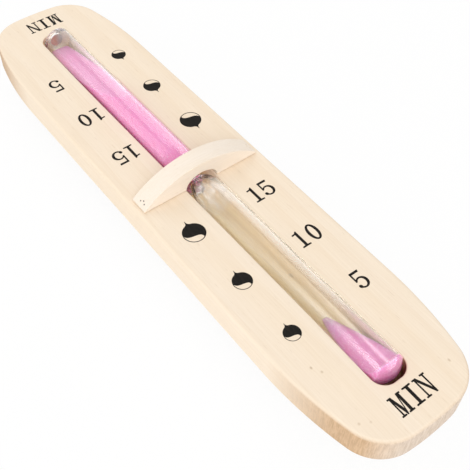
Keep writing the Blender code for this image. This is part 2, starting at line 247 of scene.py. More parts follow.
def even_normals(piece):
    """Let large flat faces set the shading at their rounded edges."""
    modifier = piece.modifiers.new("even_normals", "WEIGHTED_NORMAL")
    modifier.keep_sharp = True
    modifier.weight = 80


def applied(piece):
    """Replace a piece's mesh by the result of its modifiers."""
    bpy.context.view_layer.update()
    evaluated = piece.evaluated_get(bpy.context.evaluated_depsgraph_get())
    mesh = bpy.data.meshes.new_from_object(evaluated)
    piece.modifiers.clear()
    piece.data = mesh
    mesh.shade_smooth()
    mesh.set_sharp_from_angle(angle=SMOOTH_ANGLE)


def stands_for(piece, body, slot, *nodes):
    """Say which body a piece rides on and hide the nodes it replaces; the slot argument is not used."""
    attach(piece, body)
    if nodes:
        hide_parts(*nodes)


def arc(centre, radius, first, last, steps):
    """Points on a circle from one angle to another, both ends included."""
    points = []
    for step in range(steps + 1):
        angle = first + (last - first) * step / steps
        points.append((centre[0] + radius * math.cos(angle), centre[1] + radius * math.sin(angle)))
    return points


def circle(centre, radius, steps):
    return arc(centre, radius, 0.0, 2.0 * math.pi, steps)[:-1]


def bezier(first, second, third, fourth, steps):
    points = []
    for step in range(steps + 1):
        t = step / steps
        s = 1.0 - t
        weights = (s ** 3, 3.0 * s * s * t, 3.0 * s * t * t, t ** 3)
        points.append(tuple(sum(w * p[axis] for w, p in zip(weights, (first, second, third, fourth)))
                            for axis in (0, 1)))
    return points


def level_loop(cage, outline, z):
    return loop_of(cage, [(x, y, z) for x, y in outline])


def ring(cage, radius, z, centre=(0.0, 0.0)):
    return level_loop(cage, circle(centre, radius, SMALL_TURN_STEPS), z)


def rounded_edge(cage, outline, offset, z, height, steps):
    """Loops round an edge: step 0 has the outline's full offset, and the last step the full height."""
    loops = []
    for step in steps:
        angle = math.radians(90.0) * step / ROUND_STEPS
        shape = outline(offset * (1.0 - math.sin(angle)))
        loops.append(level_loop(cage, shape, z + height * (1.0 - math.cos(angle))))
    return loops


def rounded_sides(cage, outline, edge_round, back, front):
    """Sides of a slab whose back and front edges are rounded, as loops from its back to its front."""
    loops = rounded_edge(cage, outline, edge_round, back, edge_round, TO_SIDE)
    loops += rounded_edge(cage, outline, edge_round, front, -edge_round, FROM_SIDE)
    skin(cage, loops)
    return loops


def turned(name, profile, steps, material, middle, along_y=False, closed=False):
    """Turn (radius, height) points about an upright axis, or about one along Y."""
    cage = bmesh.new()
    loops = []
    for radius, height in profile:
        points = []
        for step in range(steps):
            angle = 2.0 * math.pi * step / steps
            across, up = radius * math.cos(angle), radius * math.sin(angle)
            place = (across, height, up) if along_y else (across, up, height)
            points.append(Vector(middle) + Vector(place))
        loops.append(loop_of(cage, points))
    if closed:
        loops.append(loops[0])
    skin(cage, loops)
    bmesh.ops.remove_doubles(cage, verts=cage.verts, dist=1e-7)
    return finish_mesh(name, cage, material)


# Material helpers

def new_material(name):
    material = bpy.data.materials.new(name)
    material.use_nodes = True
    tree = material.node_tree
    return material, tree, tree.nodes["Principled BSDF"]


def set_inputs(tree, node, inputs):
    """Set a node's inputs from values, or link them from other nodes' sockets."""
    for name, value in inputs.items():
        if isinstance(value, bpy.types.NodeSocket):
            tree.links.new(value, node.inputs[name])
        else:
            node.inputs[name].default_value = value


def add(tree, kind, inputs=None, **settings):
    made = tree.nodes.new("ShaderNode" + kind)
    for name, value in settings.items():
        setattr(made, name, value)
    set_inputs(tree, made, inputs or {})
    return made


def math_node(tree, operation, first, second=0.0, third=0.0):
    return add(tree, "Math", {0: first, 1: second, 2: third}, operation=operation).outputs[0]


def times(tree, first, second):
    return math_node(tree, "MULTIPLY", first, second)


def spread(tree, value, low, high, to_low=0.0, to_high=1.0):
    """Map a range of a value to another range, clamped."""
    inputs = {"Value": value, "From Min": low, "From Max": high, "To Min": to_low, "To Max": to_high}
    return add(tree, "MapRange", inputs, clamp=True).outputs[0]


def tint(tree, share, first, second, blend="MIX"):
    """One colour mixed with another, or multiplied by it."""
    mixer = add(tree, "Mix", data_type="RGBA", blend_type=blend)
    set_inputs(tree, mixer, {0: share, 6: first, 7: second})
    return mixer.outputs[2]


def show_mix(tree, share, first, second, output="Material Output"):
    """Show a mix of two shaders."""
    mixed = add(tree, "MixShader", {0: share, 1: first.outputs[0], 2: second.outputs[0]})
    tree.links.new(mixed.outputs[0], tree.nodes[output].inputs["Surface"])


def seen_rays(tree):
    """1 for a ray from the eye, straight or by way of glass or a shine, and 0 for one that gathers light."""
    light = add(tree, "LightPath")
    seen = math_node(tree, "MAXIMUM", light.outputs["Is Camera Ray"], light.outputs["Is Glossy Ray"])
    return math_node(tree, "MAXIMUM", seen, light.outputs["Is Transmission Ray"])


def local_coords(tree, scale=(1.0, 1.0, 1.0), move=(0.0, 0.0, 0.0)):
    coords = add(tree, "TexCoord").outputs["Object"]
    return add(tree, "Mapping", {"Vector": coords, "Location": move, "Scale": scale}).outputs[0]


def place_on(tree):
    """X, Y and Z of a point on a piece."""
    return add(tree, "SeparateXYZ", {0: local_coords(tree)}).outputs


def grain(tree, scale, detail=3.0, roughness=0.55, distortion=0.0):
    """Noise whose features are 1 / scale metres along each axis."""
    inputs = {"Vector": local_coords(tree, scale), "Scale": 1.0, "Detail": detail,
              "Roughness": roughness, "Distortion": distortion}
    return add(tree, "TexNoise", inputs).outputs[0]


def along(axis, across_scale, length_scale):
    """Scale with long features along one axis."""
    return tuple(length_scale if index == axis else across_scale for index in range(3))


def bump(tree, height, distance, strength=1.0):
    inputs = {"Height": height, "Distance": distance, "Strength": strength}
    return add(tree, "Bump", inputs).outputs[0]


def colour(red, green, blue):
    return (red, green, blue, 1.0)


WHITE = colour(1.0, 1.0, 1.0)


def fleck(tree, place, size):
    """A soft-edged spot, 1 in its middle and 0 outside, at a place on the piece."""
    scale = tuple(1.0 / length for length in size)
    move = tuple(-position / length for position, length in zip(place, size))
    vector = local_coords(tree, scale, move)
    distance = add(tree, "VectorMath", {0: vector}, operation="LENGTH").outputs["Value"]
    return spread(tree, distance, 0.35, 1.0, 1.0, 0.0)


def inside(tree, value, low, high, blur):
    """1 where a value lies between two limits and 0 outside, with soft edges."""
    rises = spread(tree, value, low - blur, low)
    falls = spread(tree, value, high, high + blur, 1.0, 0.0)
    return times(tree, rises, falls)


def board_marks(tree, body):
    """Browner, streaky wood deep in the groove, partly painted shade of the recess and darker towards the
    near end as painted shade; its scorched near end, a small knot and a few specks.
    """
    x, y, z = place_on(tree)
    near_end = glass_low.y - GROOVE_LOWER_END_GAP
    reach = GROOVE_HALF_WIDTH - GROOVE_SHIFT - GROOVE_SKEW * GROOVE_SKEW_REACH
    across = inside(tree, x, -reach, reach, STAIN_BLUR)
    lengthwise = inside(tree, y, near_end, glass_high.y + GROOVE_UPPER_END_GAP, STAIN_BLUR)
    within = times(tree, across, lengthwise)
    depth = math_node(tree, "SUBTRACT", board_front, z)
    # Painted shade: the wood deep in the groove turns browner and darker with depth, partly its own tone and
    # partly the recess's shade.
    deep = times(tree, within, spread(tree, depth, *STAIN_AND_SHADE_DEPTHS))
    streaky = spread(tree, grain(tree, (420.0, 9.0, 420.0), 4.0, 0.65), 0.36, 0.64)
    stain_and_shade_tone = tint(tree, streaky, GROOVE_TONE, GROOVE_PALE_TONE)
    # Painted shade: the groove's deep tone grows darker towards the near end.
    near_end_painted_shade = tint(tree, spread(tree, y, *GROOVE_PAINTED_SHADE_RANGE), GROOVE_PAINTED_SHADE, WHITE)
    stain_and_shade_tone = tint(tree, 1.0, stain_and_shade_tone, near_end_painted_shade, "MULTIPLY")
    body = tint(tree, deep, body, tint(tree, 1.0, body, stain_and_shade_tone, "MULTIPLY"))
    ragged = grain(tree, (500.0, 500.0, 160.0), 3.0)
    from_end = math_node(tree, "SUBTRACT", y, near_end)
    distance = math_node(tree, "MULTIPLY_ADD", ragged, BURN_REACH * 0.4, from_end)
    burnt = spread(tree, distance, BURN_REACH * 0.6, BURN_REACH * 1.2, 1.0, 0.0)
    below = times(tree, within, spread(tree, depth, BURN_RIM, 2.5 * BURN_RIM))
    body = tint(tree, times(tree, burnt, below), body, BURN)
    for place_x, place_y, place_z, width, length, share in SPECKS:
        spot = fleck(tree, (place_x, place_y, place_z), (width, length, SPECK_DEPTH))
        body = tint(tree, times(tree, spot, share), body, SPECK_TONE)
    return body


def make_wood(name, axis, pale, late, heart, ring_contrast, end_tones, end_hatch, marks=None):
    """Solid wood: growth rings round a distant heart, fibres, pores, end grain and any marks."""
    material, tree, shader = new_material(name)
    wander = grain(tree, along(axis, 16.0, 2.2), 2.0)
    from_heart = local_coords(tree, along(axis, 1.0, 0.0), heart)
    radius = add(tree, "VectorMath", {0: from_heart}, operation="LENGTH").outputs["Value"]
    shifted = math_node(tree, "MULTIPLY_ADD", wander, RING_WANDER, radius)
    uneven = add(tree, "TexNoise", {"W": shifted, "Scale": RINGS_PER_METRE, "Detail": 2.0},
                 noise_dimensions="1D").outputs[0]
    growth = math_node(tree, "FRACT", times(tree, shifted, RINGS_PER_METRE))
    late_band = math_node(tree, "POWER", growth, 2.2)
    strength = spread(tree, uneven, 0.3, 0.7, 0.15, 1.0)
    bands = times(tree, late_band, strength)
    shade = times(tree, bands, ring_contrast)
    body = tint(tree, shade, pale, late)

    blotch = spread(tree, grain(tree, along(axis, 60.0, 5.0), 3.0), 0.35, 0.65)
    warm = tint(tree, blotch, colour(1.0, 0.985, 0.955), WHITE)
    body = tint(tree, 1.0, body, warm, "MULTIPLY")
    fibre = grain(tree, along(axis, 1500.0, 40.0), 4.0, 0.6)
    streak = tint(tree, spread(tree, fibre, 0.3, 0.7), colour(0.945, 0.93, 0.905), WHITE)
    body = tint(tree, 1.0, body, streak, "MULTIPLY")
    pore = spread(tree, grain(tree, along(axis, 2600.0, 160.0), 1.0), 0.70, 0.78)
    body = tint(tree, times(tree, pore, 0.25), body, colour(0.50, 0.33, 0.20))
    normal = add(tree, "TexCoord").outputs["Normal"]
    facings = add(tree, "SeparateXYZ", {0: normal}).outputs
    facing = math_node(tree, "ABSOLUTE", facings[axis])
    upright = spread(tree, math_node(tree, "ABSOLUTE", facings["Z"]), 0.2, 0.95, 1.0, 0.0)
    end_grain = times(tree, spread(tree, facing, 0.01, 0.19), upright)
    tone = tint(tree, spread(tree, facing, 0.5, 0.95), *end_tones)
    hatch = spread(tree, grain(tree, (1200.0, 1200.0, 130.0), 3.0, 0.7), 0.38, 0.62)
    tone = tint(tree, 1.0, tone, tint(tree, hatch, *end_hatch), "MULTIPLY")
    body = tint(tree, end_grain, body, tint(tree, 1.0, body, tone, "MULTIPLY"))
    if marks:
        body = marks(tree, body)

    relief = math_node(tree, "MULTIPLY_ADD", pore, -0.6, fibre)
    set_inputs(tree, shader, {
        "Base Color": body,
        "Roughness": spread(tree, fibre, 0.3, 0.7, 0.50, 0.66),
        "Specular IOR Level": 0.25,
        "Normal": bump(tree, relief, 0.00005, 0.5)})
    return material


def make_glass_material():
    """Clear drawn glass that lets light through to the sand. A soft coat carries its reflections.

    Near the neck the glass is rippled from its working, and on the near shoulder a faint white haze, as
    worked glass gets, also serves as a painted reflection that pales it.
    """
    material, tree, shader = new_material("clear_glass")
    dust = grain(tree, (90.0, 30.0, 90.0), 4.0)
    smooth = spread(tree, dust, 0.40, 0.75, 0.04, 0.06)
    near_side = math_node(tree, "SUBTRACT", neck_y, place_on(tree)["Y"])
    from_neck = math_node(tree, "ABSOLUTE", near_side)
    worked = spread(tree, from_neck, 0.5 * shoulder_end, 1.3 * shoulder_end, 1.0, 0.0)
    # Painted reflection: a white haze on the near shoulder, partly a real haze of worked glass, takes some
    # transmission away.
    haze_and_painted_reflection = inside(tree, near_side, 0.75 * shoulder_end, 0.95 * shoulder_end, 0.30 * shoulder_end)
    patchy = spread(tree, grain(tree, (350.0, 120.0, 350.0), 3.0), 0.35, 0.70)
    haze_and_painted_reflection = times(tree, haze_and_painted_reflection, patchy)
    ripple = times(tree, worked, grain(tree, (420.0, 160.0, 420.0), 2.0))
    set_inputs(tree, shader, {
        "Base Color": colour(0.985, 0.99, 0.985),
        "IOR": GLASS_IOR,
        "Specular Tint": colour(0.0, 0.0, 0.0),
        "Coat Weight": 1.0,
        "Coat Roughness": 0.25,
        "Coat IOR": GLASS_IOR,
        "Roughness": math_node(tree, "MULTIPLY_ADD", worked, 0.02, smooth),
        "Transmission Weight": spread(tree, haze_and_painted_reflection, 0.0, 1.0, 1.0, 0.74),
        "Normal": bump(tree, ripple, 0.0006, 0.6)})
    clear = add(tree, "BsdfTransparent", {"Color": colour(0.985, 0.985, 0.985)})
    light = add(tree, "LightPath")
    passes = math_node(tree, "MAXIMUM", light.outputs["Is Shadow Ray"], light.outputs["Is Diffuse Ray"])
    show_mix(tree, passes, shader, clear)
    return material


def make_sand_material():
    """Dyed grains with a few pale ones, which let light some way into the heap."""
    material, tree, shader = new_material("pink_sand")
    grains = add(tree, "TexVoronoi", {"Vector": local_coords(tree), "Scale": 3200.0})
    speckle = add(tree, "SeparateColor", {0: grains.outputs["Color"]}).outputs[0]
    drift = grain(tree, (260.0, 60.0, 260.0), 3.0)
    body = tint(tree, spread(tree, speckle, 0.0, 1.0), colour(0.80, 0.255, 0.50), colour(0.92, 0.37, 0.68))
    body = tint(tree, spread(tree, drift, 0.35, 0.65, 0.0, 0.30), body, colour(0.82, 0.25, 0.52))
    white = spread(tree, speckle, 0.93, 0.95)
    body = tint(tree, times(tree, white, 0.5), body, colour(0.97, 0.82, 0.88))
    set_inputs(tree, shader, {
        "Base Color": body,
        "Roughness": 0.85,
        "Specular IOR Level": 0.2,
        "Subsurface Weight": 0.8,
        "Subsurface Radius": (1.0, 0.6, 0.8),
        "Subsurface Scale": 0.004,
        "Normal": bump(tree, grains.outputs["Distance"], 0.0002, 0.4)})
    return material


def make_ink():
    """Dull black ink, slightly worn along the grain."""
    material, tree, shader = new_material("print_ink")
    wear = grain(tree, (900.0, 250.0, 900.0), 3.0)
    body = tint(tree, spread(tree, wear, 0.35, 0.7), colour(0.012, 0.011, 0.010), colour(0.022, 0.019, 0.017))
    set_inputs(tree, shader, {
        "Base Color": body,
        "Roughness": spread(tree, wear, 0.3, 0.7, 0.55, 0.75),
        "Specular IOR Level": 0.08})
    return material


def make_metal(name, base, dull, roughness):
    """Metal with dull clouds in its finish."""
    material, tree, shader = new_material(name)
    cloud = grain(tree, (500.0, 500.0, 500.0), 4.0)
    set_inputs(tree, shader, {
        "Base Color": tint(tree, spread(tree, cloud, 0.35, 0.65), base, dull),
        "Roughness": spread(tree, cloud, 0.3, 0.7, roughness - 0.08, roughness + 0.12),
        "Metallic": 1.0,
        "Normal": bump(tree, cloud, 0.00003, 0.3)})
    return material


def make_moulded(name, base, shade, roughness, pale_end=None):
    """Rubber, plastic or filler with a fine texture.

    A pale end, given as its Y, makes the piece paler towards that end, and painted shade greys its right
    side.
    """
    material, tree, shader = new_material(name)
    cloud = grain(tree, (700.0, 700.0, 700.0), 3.0)
    body = tint(tree, spread(tree, cloud, 0.3, 0.7), base, shade)
    if pale_end is not None:
        place = place_on(tree)
        # The piece grows paler towards the given end.
        paler_share = spread(tree, place["Y"], pale_end - PLUG_PALE_START, pale_end - PLUG_PALE_FULL)
        body = tint(tree, paler_share, body, PLUG_PALE_TONE)
        # Painted shade: the plug turns grey over its right side.
        body = tint(tree, spread(tree, place["X"], *PLUG_PAINTED_SHADE_RANGE), body, PLUG_PAINTED_SHADE)
    set_inputs(tree, shader, {
        "Base Color": body,
        "Roughness": spread(tree, cloud, 0.3, 0.7, roughness - 0.05, roughness + 0.1),
        "Normal": bump(tree, cloud, 0.00004, 0.3)})
    return material


ALONG_X = 0
ALONG_Y = 1
RINGS_PER_METRE = 170.0
RING_WANDER = 0.020

BOARD_END_TONES = (colour(0.68, 0.55, 0.425), colour(0.76, 0.745, 0.77))
BOARD_END_HATCH = (colour(0.89, 0.86, 0.82), colour(1.10, 1.105, 1.11))
BRIDGE_END_TONES = (colour(0.99, 0.98, 0.97), colour(0.97, 0.96, 0.94))
BRIDGE_END_HATCH = (colour(0.99, 0.985, 0.98), WHITE)
# Tones deep in the groove, which also paint the recess's shade
GROOVE_TONE = colour(0.83, 0.70, 0.44)
GROOVE_PALE_TONE = colour(0.99, 0.91, 0.65)
# Painted shade that darkens the deep groove towards the near end, and the Y range over which it comes in
GROOVE_PAINTED_SHADE = colour(0.86, 0.85, 0.80)
GROOVE_PAINTED_SHADE_RANGE = (-0.100, -0.050)
STAIN_AND_SHADE_DEPTHS = (0.0035, 0.0100)
STAIN_BLUR = 0.0002
BURN = colour(0.17, 0.030, 0.022)
BURN_REACH = 0.0070
BURN_RIM = 0.0004
PLUG_PALE_TONE = colour(0.86, 0.74, 0.62)
PLUG_PALE_START = 0.0026
PLUG_PALE_FULL = 0.0016
# Painted shade over the plug's right side, and the X range over which it comes in
PLUG_PAINTED_SHADE = colour(0.30, 0.25, 0.225)
PLUG_PAINTED_SHADE_RANGE = (-0.0012, 0.0022)
SPECK_TONE = colour(0.42, 0.27, 0.13)
SPECK_DEPTH = 0.002
# Place, width, length and strength of each speck; the last is the knot in the groove's floor
SPECKS = ((-0.0260, -0.1220, 0.0286, 0.0007, 0.0010, 0.5), (-0.0236, -0.1262, 0.0286, 0.0007, 0.0009, 0.4),
          (-0.0274, -0.1527, 0.0286, 0.0008, 0.0009, 0.3), (-0.0230, -0.1550, 0.0286, 0.0008, 0.0008, 0.2),
          (0.0233, -0.1546, 0.0286, 0.0007, 0.0012, 0.4), (0.0040, -0.0750, 0.0177, 0.0012, 0.0020, 0.6))
board_wood = make_wood("board_wood", ALONG_Y, colour(0.955, 0.83, 0.685), colour(0.84, 0.66, 0.47),
                       (0.055, 0.0, 0.085), 0.26, BOARD_END_TONES, BOARD_END_HATCH, board_marks)
bridge_wood = make_wood("bridge_wood", ALONG_X, colour(0.97, 0.875, 0.775), colour(0.90, 0.76, 0.60),
                        (0.0, 0.07, 0.06), 0.2, BRIDGE_END_TONES, BRIDGE_END_HATCH)
plate_wood = make_wood("plate_wood", ALONG_Y, colour(0.80, 0.655, 0.46), colour(0.66, 0.47, 0.29),
                       (-0.05, 0.0, 0.09), 0.7, BOARD_END_TONES, BOARD_END_HATCH)
clear_glass = make_glass_material()
pink_sand = make_sand_material()
print_ink = make_ink()
# The brads' steel is dark, partly as painted shade of brads set below the bridge's surface.
pin_steel = make_metal("pin_steel", colour(0.16, 0.15, 0.145), colour(0.09, 0.085, 0.08), 0.5)
zinc_steel = make_metal("zinc_steel", colour(0.72, 0.72, 0.70), colour(0.60, 0.60, 0.59), 0.3)
plug_rubber = make_moulded("plug_rubber", colour(0.46, 0.14, 0.06), colour(0.27, 0.07, 0.045), 0.6,
                           pale_end=glass_high.y)
pin_filler = make_moulded("pin_filler", colour(0.90, 0.78, 0.62), colour(0.82, 0.69, 0.53), 0.6)
dark_plastic = make_moulded("dark_plastic", colour(0.052, 0.052, 0.054), colour(0.035, 0.035, 0.036), 0.45)


# Front board

def board_outline(inset):
    """The board's outline drawn in by a distance: straight sides, wide arcs, corners and bowed ends."""
    side = Vector((board_high.x - SIDE_ARC_RADIUS, SIDE_STRAIGHT_LENGTH / 2.0))
    end = Vector((0.0, board_high.y - END_ARC_RADIUS))
    to_side = SIDE_ARC_RADIUS - CORNER_RADIUS
    to_end = END_ARC_RADIUS - CORNER_RADIUS
    across = end - side
    reach = (across.length_squared + to_side ** 2 - to_end ** 2) / (2.0 * across.length)
    direction = across.normalized()
    square = Vector((-direction.y, direction.x))
    corner = side + direction * reach + square * math.sqrt(to_side ** 2 - reach ** 2)
    side_angle = math.atan2(corner.y - side.y, corner.x - side.x)
    end_angle = math.atan2(corner.y - end.y, corner.x - end.x)
    quarter = arc(side, SIDE_ARC_RADIUS - inset, 0.0, side_angle, ARC_STEPS)
    quarter += arc(corner, CORNER_RADIUS - inset, side_angle, end_angle, ARC_STEPS)[1:]
    quarter += arc(end, END_ARC_RADIUS - inset, end_angle, math.pi / 2.0, ARC_STEPS)[1:]
    upper_half = quarter + [(-x, y) for x, y in quarter[-2::-1]]
    return upper_half + [(-x, -y) for x, y in upper_half]


def groove_skew(y):
    """Sideways shift of the groove's left side, which grows from the middle and fades out before the ends."""
    reach = max(-GROOVE_SKEW_REACH, min(GROOVE_SKEW_REACH, y))
    fade = (GROOVE_SKEW_END - abs(y)) / (GROOVE_SKEW_END - GROOVE_SKEW_REACH)
    return GROOVE_SKEW * reach * max(0.0, min(1.0, fade))


def groove_outline(outset):
    """The groove's outline, with round corners, let out by a distance."""
    radius = GROOVE_END_RADIUS + outset
    side = GROOVE_HALF_WIDTH - GROOVE_END_RADIUS
    upper = glass_high.y + GROOVE_UPPER_END_GAP - GROOVE_END_RADIUS
    lower = glass_low.y - GROOVE_LOWER_END_GAP + GROOVE_END_RADIUS
    outline = []
    for quarter, (x, y) in enumerate(((side, upper), (-side, upper), (-side, lower), (side, lower))):
        first = quarter * math.pi / 2.0
        outline += arc((x + GROOVE_SHIFT, y), radius, first, first + math.pi / 2.0, ARC_STEPS)
        if x < 0.0 < y:
            for step in range(1, SKEW_STEPS):
                down = upper + (lower - upper) * step / SKEW_STEPS
                outline.append((GROOVE_SHIFT - side - radius + groove_skew(down), down))
    return outline


def make_board():
    cage = bmesh.new()
    outer = rounded_sides(cage, board_outline, BOARD_EDGE_ROUND, board_back, board_front)
    rim, foot = GROOVE_RIM_ROUND, GROOVE_FLOOR_ROUND
    groove = rounded_edge(cage, groove_outline, rim, board_front, -rim, TO_SIDE)
    groove += rounded_edge(cage, groove_outline, -foot, groove_floor, foot, FROM_SIDE)
    skin(cage, groove)
    fill(cage, outer[-1], groove[0])

    ledge = board_front - COUNTERBORE_DEPTH
    bores = [ring(cage, COUNTERBORE_RADIUS, groove_floor), ring(cage, COUNTERBORE_RADIUS, ledge),
             ring(cage, BOLT_HOLE_RADIUS, ledge), ring(cage, BOLT_HOLE_RADIUS, board_back)]
    skin(cage, bores)
    fill(cage, groove[-1], bores[0])
    fill(cage, outer[0], bores[-1])
    board = finish_mesh("board", cage, board_wood)
    even_normals(board)
    stands_for(board, "timer_board", "board_wood", "front_board")


# Bridge and its pins

def bridge_top(x):
    """Height of the arched top over the bridge's underside."""
    height = bridge_high.z - bridge_low.z
    rise = height - BRIDGE_END_HEIGHT
    radius = (bridge_high.x ** 2 + rise ** 2) / (2.0 * rise)
    return math.sqrt(radius ** 2 - x ** 2) - radius + height


def make_bridge():
    outline = []
    steps = 4 * ARC_STEPS
    for step in range(steps + 1):
        x = bridge_low.x + (bridge_high.x - bridge_low.x) * step / steps
        outline.append((x, bridge_top(x)))
    outline.append((bridge_high.x, 0.0))
    for step in range(2 * ARC_STEPS + 1):
        angle = math.pi * step / (2 * ARC_STEPS)
        outline.append((NOTCH_HALF_WIDTH * math.cos(angle), NOTCH_HEIGHT * math.sin(angle)))
    outline.append((bridge_low.x, 0.0))
    cage = bmesh.new()
    sides = [loop_of(cage, [(x, y, bridge_low.z + z) for x, z in outline])
             for y in (bridge_low.y, bridge_high.y)]
    skin(cage, sides)
    fill(cage, sides[0])
    fill(cage, sides[1])
    bridge = finish_mesh("bridge_arch", cage, bridge_wood)
    soften = bridge.modifiers.new("soften", "BEVEL")
    soften.width = BRIDGE_EDGE_ROUND
    soften.segments = 3
    soften.limit_method = "ANGLE"
    soften.angle_limit = math.radians(40.0)
    applied(bridge)
    even_normals(bridge)
    stands_for(bridge, "timer_board", "bridge_wood", "bridge")


def make_pins():
    """Brads with crowned heads: bare, dark steel on the left, its darkness partly painted shade, and filled
    over on the right.
    """
    for node in sorted(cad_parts):
        if not node.startswith("bridge_pin"):
            continue
        low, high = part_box(node)
        radius = (high.x - low.x) / 2.0
        middle = ((low.x + high.x) / 2.0, (low.y + high.y) / 2.0, 0.0)
        top = bridge_low.z + bridge_top(middle[0]) + PIN_PROUD
        profile = []
        for step in range(PIN_CROWN_STEPS + 1):
            angle = math.radians(90.0 - 90.0 * step / PIN_CROWN_STEPS)
            profile.append((radius * math.cos(angle), top - radius * PIN_CROWN * (1.0 - math.sin(angle))))
        profile += [(radius, low.z + 2.0 * radius), (0.0, low.z)]
        finish = pin_steel if middle[0] < 0.0 else pin_filler
        pin = turned(node.replace("bridge_", ""), profile, SMALL_TURN_STEPS, finish, middle)
        stands_for(pin, "timer_board", "pin_steel", node)


# Sand glass and sand

def shoulder(first_radius, full_radius, start, end):
    """Quarter-oval from the neck to a bulb's full width, as (radius, distance) points."""
    points = []
    for step in range(ARC_STEPS + 1):
        angle = math.radians(90.0) * step / ARC_STEPS
        radius = first_radius + (full_radius - first_radius) * math.sin(angle)
        points.append((radius, start + (end - start) * (1.0 - math.cos(angle))))
    return points


def end_cap(full_radius, start, end, last_radius=0.0):
    """Closed end of a bulb as (radius, distance) points: a round corner and a shallow part of a ball."""
    rise = end - start
    ball = (full_radius ** 2 + rise ** 2) / (2.0 * rise)
    middle = end - ball

    def on_ball(angle):
        return ball * math.sin(angle), middle + ball * math.cos(angle)

    first = math.asin(full_radius / ball) - END_CORNER_ROUND / ball
    last = math.asin(last_radius / ball)
    corner = (full_radius, start)
    points = bezier((full_radius, start - END_CORNER_ROUND), corner, corner, on_ball(first), ROUND_STEPS)
    return points + [on_ball(first + (last - first) * step / ARC_STEPS) for step in range(1, ARC_STEPS + 1)]


def mirrored(points):
    return [(radius, -distance) for radius, distance in points]


def inner_bulb(last_radius=0.0, outset=0.0):
    """Inside of a bulb from the neck to its closed end, let out by a distance."""
    start = shoulder(NECK_BORE_RADIUS, bore + outset, NECK_HALF_LENGTH + GLASS_WALL, shoulder_end)
    end = bulb_length - END_GLASS + outset
    return start + end_cap(bore + outset, end - INNER_CAP_RISE, end, last_radius)


def outer_bulb(last_radius=0.0):
    start = shoulder(NECK_RADIUS, glass_radius, NECK_HALF_LENGTH, shoulder_end)
    return start + end_cap(glass_radius, cap_start, bulb_length, last_radius)


def make_glass():
    inner = mirrored(inner_bulb())[::-1] + inner_bulb(FILL_HOLE_RADIUS)
    outer = outer_bulb(FILL_HOLE_RADIUS)[::-1] + mirrored(outer_bulb())
    middle = (0.0, neck_y, glass_axis)
    glass = turned("glass", inner + outer, TURN_STEPS, clear_glass, middle, along_y=True)
    stands_for(glass, "timer_board", "clear_glass", "glass_bulbs")
    glass_only.objects.link(glass)


def make_plug():
    """A stopper with softened rims that fills the filling hole."""
    low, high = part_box("fill_plug")
    radius = FILL_HOLE_RADIUS - PLUG_CLEARANCE
    profile = [(0.0, high.y), (radius - 2.0 * CHAMFER, high.y), (radius, high.y - 2.0 * CHAMFER),
               (radius, low.y + CHAMFER), (radius - CHAMFER, low.y), (0.0, low.y)]
    plug = turned("plug", profile, SMALL_TURN_STEPS, plug_rubber, (0.0, 0.0, glass_axis), along_y=True)
    stands_for(plug, "timer_board", "plug_rubber", "fill_plug")


def bulb_radius(distance):
    """Radius of the sand, pressed against the glass, at a distance from the neck."""
    profile = inner_bulb(outset=SAND_CONTACT)
    for (radius, before), (next_radius, after) in zip(profile, profile[1:]):
        if before <= distance <= after and after > before:
            share = (distance - before) / (after - before)
            return radius + (next_radius - radius) * share
    return NECK_BORE_RADIUS


def far_surface(y):
    """Height of the far sand's free surface over the glass's axis: it steepens away from its toe."""
    run = glass_high.y - FAR_SAND_HEADROOM - y
    if run < 0.0:
        return FAR_SAND_TOE_HEIGHT - bore + FAR_SAND_TOE_SLOPE * run
    return FAR_SAND_TOE_HEIGHT - bore + FAR_SAND_SLOPE * run + FAR_SAND_CURVE * run * run


def near_surface(y):
    """Height of the near sand's free surface: a thin foot that curves up to the glass's end."""
    run = glass_low.y + NEAR_SAND_RUN - y
    packed = max(0.0, run - NEAR_SAND_PACKED_FROM) * NEAR_SAND_PACKED_SLOPE
    return -bore + NEAR_SAND_FOOT_SLOPE * run + NEAR_SAND_CURVE * run * abs(run) + packed


def make_heap(name, node, surface, first, last, seed):
    """Sand in a bulb from one end to the other: round against the glass, with a free top."""
    while surface(last) < -SAND_LAST * bulb_radius(abs(last - neck_y)):
        last += math.copysign(SAND_CONTACT, first - last)
    cage = bmesh.new()
    loops = []
    for station in range(HEAP_STATIONS + 1):
        ease = 0.5 - 0.5 * math.cos(math.pi * station / HEAP_STATIONS)
        y = first + (last - first) * ease
        radius = bulb_radius(abs(y - neck_y))
        level = max(-SAND_LOWEST * radius, min(SAND_HIGHEST * radius, surface(y)))
        edge = math.acos(level / radius)
        points = []
        for step in range(HEAP_AROUND_STEPS + 1):
            angle = edge + (2.0 * math.pi - 2.0 * edge) * step / HEAP_AROUND_STEPS
            points.append((radius * math.sin(angle), y, glass_axis + radius * math.cos(angle)))
        half = radius * math.sin(edge)
        for step in range(1, HEAP_ACROSS_STEPS):
            share = 2.0 * step / HEAP_ACROSS_STEPS - 1.0
            x = half * share
            spot = Vector((x * SAND_RIPPLES_ACROSS, y * SAND_RIPPLES_ALONG, seed))
            ripple = noise.fractal(spot, *SAND_RIPPLE_OCTAVES) * SAND_RIPPLE
            room = 1.0 - share ** 2
            points.append((x, y, glass_axis + level + ripple * room))
        loops.append(loop_of(cage, points))
    skin(cage, loops)
    fill(cage, loops[0])
    fill(cage, loops[-1])
    heap = finish_mesh(name, cage, pink_sand)
    stands_for(heap, "timer_board", "pink_sand", node)


def make_sand():
    start = NECK_HALF_LENGTH + GLASS_WALL + 5.0 * SAND_CONTACT
    end = bulb_length - END_GLASS + 0.9 * SAND_CONTACT
    make_heap("sand_far", "sand_upper", far_surface, neck_y + start, neck_y + end, 3.0)
    foot = glass_low.y + NEAR_SAND_RUN - NEAR_SAND_FOOT_INSET
    make_heap("sand_near", "sand_lower", near_surface, foot, neck_y - end, 8.0)


# Wall plate and pivot

